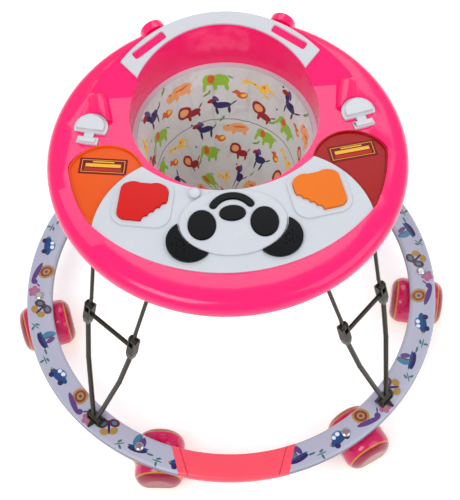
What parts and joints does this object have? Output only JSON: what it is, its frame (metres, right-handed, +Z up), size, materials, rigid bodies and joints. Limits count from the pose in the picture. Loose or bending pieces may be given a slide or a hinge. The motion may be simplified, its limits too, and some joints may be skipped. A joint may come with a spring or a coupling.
{
  "type": "baby walker",
  "caption": "Round baby walker: ring on swivel casters, folding legs, play tray with push buttons and a fabric bucket seat.",
  "frame": {"origin": "on the floor under the middle of the base ring", "axes": "+Z up, -Y towards the front, where the child faces, +X to the right as the picture shows it"},
  "size_m": [0.6344, 0.5999, 0.4484],
  "materials": {
    "pale_plastic": "satin",
    "ring_film": "printed gloss film",
    "coral_film": "gloss film",
    "steel": "satin",
    "dark_steel": "gloss",
    "magenta": "gloss",
    "gold": "satin",
    "hot_pink": "gloss",
    "white": "satin",
    "print_fabric": "printed cloth",
    "orange": "gloss",
    "red": "gloss",
    "label": "printed sticker",
    "panel": "satin",
    "black": "high gloss",
    "board": "coated",
    "keypad": "matt",
    "toast_red": "gloss",
    "toast_orange": "gloss",
    "cell": "plated"
  },
  "bodies": {
    "base": {"ring_tube": "pale_plastic", "ring_film": "ring_film", "front_wrap": "coral_film", "caster_stems": "steel", "foot_brackets": "dark_steel", "foot_pins": "steel"},
    "right_caster": {"right_caster_body": "gold", "right_caster_covers": "magenta"},
    "right_wheels": {"right_caster_wheels": "gold"},
    "rear_right_caster": {"rear_right_caster_body": "gold", "rear_right_caster_covers": "magenta"},
    "rear_right_wheels": {"rear_right_caster_wheels": "gold"},
    "rear_left_caster": {"rear_left_caster_body": "gold", "rear_left_caster_covers": "magenta"},
    "rear_left_wheels": {"rear_left_caster_wheels": "gold"},
    "left_caster": {"left_caster_body": "gold", "left_caster_covers": "magenta"},
    "left_wheels": {"left_caster_wheels": "gold"},
    "front_left_caster": {"front_left_caster_body": "gold", "front_left_caster_covers": "magenta"},
    "front_left_wheels": {"front_left_caster_wheels": "gold"},
    "front_right_caster": {"front_right_caster_body": "gold", "front_right_caster_covers": "magenta"},
    "front_right_wheels": {"front_right_caster_wheels": "gold"},
    "front_left_lower": {"front_left_lower_leg": "dark_steel"},
    "front_left_upper": {"front_left_upper_leg": "dark_steel"},
    "front_right_lower": {"front_right_lower_leg": "dark_steel"},
    "front_right_upper": {"front_right_upper_leg": "dark_steel"},
    "rear_right_lower": {"rear_right_lower_leg": "dark_steel"},
    "rear_right_upper": {"rear_right_upper_leg": "dark_steel"},
    "rear_left_lower": {"rear_left_lower_leg": "dark_steel"},
    "rear_left_upper": {"rear_left_upper_leg": "dark_steel"},
    "tray": {"tray_shell": "hot_pink", "leg_lugs": "dark_steel", "seat_hoop": "white", "seat_fabric": "print_fabric", "back_band": "white", "rear_ears": "hot_pink", "side_cups": "white", "orange_pocket": "orange", "red_pocket": "red", "pocket_labels": "label", "toy_panel": "panel", "face_disc": "panel", "ear_grilles": "black", "panel_base": "white", "battery_door": "white", "battery_cells": "cell", "circuit_board": "board", "rubber_keypad": "keypad", "speakers": "black", "skirt_screws": "dark_steel"},
    "left_toast_button": {"left_toast_button": "toast_red"},
    "right_toast_button": {"right_toast_button": "toast_orange"},
    "left_eye_button": {"left_eye_button": "black"},
    "right_eye_button": {"right_eye_button": "black"},
    "nose_button": {"nose_button": "black"},
    "mouth_button": {"mouth_button": "black"},
    "volume_knob": {"volume_knob": "white"}
  },
  "joints": [
    {"name": "right_swivel", "type": "hinge", "parent": "base", "child": "right_caster", "pos_m": [0.2813, 0, 0.06], "axis": [0, 0, 1], "continuous": true},
    {"name": "right_roll", "type": "hinge", "parent": "right_caster", "child": "right_wheels", "pos_m": [0.2761, -0.02445, 0.03], "axis": [0.9781, -0.2079, 0], "continuous": true},
    {"name": "rear_right_swivel", "type": "hinge", "parent": "base", "child": "rear_right_caster", "pos_m": [0.14065, 0.24361, 0.06], "axis": [0, 0, 1], "continuous": true},
    {"name": "rear_right_roll", "type": "hinge", "parent": "rear_right_caster", "child": "rear_right_wheels", "pos_m": [0.16414, 0.23506, 0.03], "axis": [0.342, 0.9397, 0], "continuous": true},
    {"name": "rear_left_swivel", "type": "hinge", "parent": "base", "child": "rear_left_caster", "pos_m": [-0.14065, 0.24361, 0.06], "axis": [0, 0, 1], "continuous": true},
    {"name": "rear_left_roll", "type": "hinge", "parent": "rear_left_caster", "child": "rear_left_wheels", "pos_m": [-0.16414, 0.23506, 0.03], "axis": [0.342, -0.9397, 0], "continuous": true},
    {"name": "left_swivel", "type": "hinge", "parent": "base", "child": "left_caster", "pos_m": [-0.2813, 0, 0.06], "axis": [0, 0, 1], "continuous": true},
    {"name": "left_roll", "type": "hinge", "parent": "left_caster", "child": "left_wheels", "pos_m": [-0.2761, -0.02445, 0.03], "axis": [0.9781, 0.2079, 0], "continuous": true},
    {"name": "front_left_swivel", "type": "hinge", "parent": "base", "child": "front_left_caster", "pos_m": [-0.14065, -0.24361, 0.06], "axis": [0, 0, 1], "continuous": true},
    {"name": "front_left_roll", "type": "hinge", "parent": "front_left_caster", "child": "front_left_wheels", "pos_m": [-0.11575, -0.24579, 0.03], "axis": [0.0872, 0.9962, 0], "continuous": true},
    {"name": "front_right_swivel", "type": "hinge", "parent": "base", "child": "front_right_caster", "pos_m": [0.14065, -0.24361, 0.06], "axis": [0, 0, 1], "continuous": true},
    {"name": "front_right_roll", "type": "hinge", "parent": "front_right_caster", "child": "front_right_wheels", "pos_m": [0.16312, -0.23265, 0.03], "axis": [-0.4384, 0.8988, 0], "continuous": true},
    {"name": "fold_front_left", "type": "hinge", "parent": "base", "child": "front_left_lower", "pos_m": [-0.19891, -0.19891, 0.091], "axis": [-0.7071, 0.7071, 0], "range_deg": [0, 43], "deforming": ["seat_fabric"]},
    {"name": "knee_front_left", "type": "hinge", "parent": "front_left_lower", "child": "front_left_upper", "pos_m": [-0.15559, -0.15559, 0.28156], "axis": [-0.7071, 0.7071, 0], "range_deg": [-120.4, 0]},
    {"name": "fold_front_right", "type": "hinge", "parent": "base", "child": "front_right_lower", "pos_m": [0.19891, -0.19891, 0.091], "axis": [-0.7071, -0.7071, 0], "range_deg": [0, 43]},
    {"name": "knee_front_right", "type": "hinge", "parent": "front_right_lower", "child": "front_right_upper", "pos_m": [0.15559, -0.15559, 0.28156], "axis": [-0.7071, -0.7071, 0], "range_deg": [-120.4, 0]},
    {"name": "fold_rear_right", "type": "hinge", "parent": "base", "child": "rear_right_lower", "pos_m": [0.19891, 0.19891, 0.091], "axis": [0.7071, -0.7071, 0], "range_deg": [0, 43]},
    {"name": "knee_rear_right", "type": "hinge", "parent": "rear_right_lower", "child": "rear_right_upper", "pos_m": [0.15559, 0.15559, 0.28156], "axis": [0.7071, -0.7071, 0], "range_deg": [-120.4, 0]},
    {"name": "fold_rear_left", "type": "hinge", "parent": "base", "child": "rear_left_lower", "pos_m": [-0.19891, 0.19891, 0.091], "axis": [0.7071, 0.7071, 0], "range_deg": [0, 43]},
    {"name": "knee_rear_left", "type": "hinge", "parent": "rear_left_lower", "child": "rear_left_upper", "pos_m": [-0.15559, 0.15559, 0.28156], "axis": [0.7071, 0.7071, 0], "range_deg": [-120.4, 0]},
    {"name": "tray_level", "type": "hinge", "parent": "front_left_upper", "child": "tray", "pos_m": [-0.13435, -0.13435, 0.375], "axis": [-0.7071, 0.7071, 0], "range_deg": [0, 77.4]},
    {"name": "left_toast_press", "type": "slide", "parent": "tray", "child": "left_toast_button", "axis": [0, 0, -1], "range_m": [0, 0.0025], "stiffness_N_per_m": 400, "springref_m": -0.002, "deforming": ["rubber_keypad"]},
    {"name": "right_toast_press", "type": "slide", "parent": "tray", "child": "right_toast_button", "axis": [0, 0, -1], "range_m": [0, 0.0025], "stiffness_N_per_m": 400, "springref_m": -0.002, "deforming": ["rubber_keypad"]},
    {"name": "left_eye_press", "type": "slide", "parent": "tray", "child": "left_eye_button", "axis": [0, 0, -1], "range_m": [0, 0.0025], "stiffness_N_per_m": 400, "springref_m": -0.002, "deforming": ["rubber_keypad"]},
    {"name": "right_eye_press", "type": "slide", "parent": "tray", "child": "right_eye_button", "axis": [0, 0, -1], "range_m": [0, 0.0025], "stiffness_N_per_m": 400, "springref_m": -0.002, "deforming": ["rubber_keypad"]},
    {"name": "nose_press", "type": "slide", "parent": "tray", "child": "nose_button", "axis": [0, 0, -1], "range_m": [0, 0.0025], "stiffness_N_per_m": 400, "springref_m": -0.002, "deforming": ["rubber_keypad"]},
    {"name": "mouth_press", "type": "slide", "parent": "tray", "child": "mouth_button", "axis": [0, 0, -1], "range_m": [0, 0.0025], "stiffness_N_per_m": 400, "springref_m": -0.002, "deforming": ["rubber_keypad"]},
    {"name": "volume_turn", "type": "hinge", "parent": "tray", "child": "volume_knob", "pos_m": [-0.043, -0.063, 0.42], "axis": [0, 0, 1], "range_deg": [-140, 140]}
  ],
  "couplings": [
    {"joint": "knee_front_left", "follows": "fold_front_left", "ratio": -2.8},
    {"joint": "knee_front_right", "follows": "fold_front_left", "ratio": -2.8},
    {"joint": "fold_front_right", "follows": "fold_front_left", "ratio": 1},
    {"joint": "knee_rear_right", "follows": "fold_front_left", "ratio": -2.8},
    {"joint": "fold_rear_right", "follows": "fold_front_left", "ratio": 1},
    {"joint": "knee_rear_left", "follows": "fold_front_left", "ratio": -2.8},
    {"joint": "fold_rear_left", "follows": "fold_front_left", "ratio": 1},
    {"joint": "tray_level", "follows": "fold_front_left", "ratio": 1.8}
  ]
}
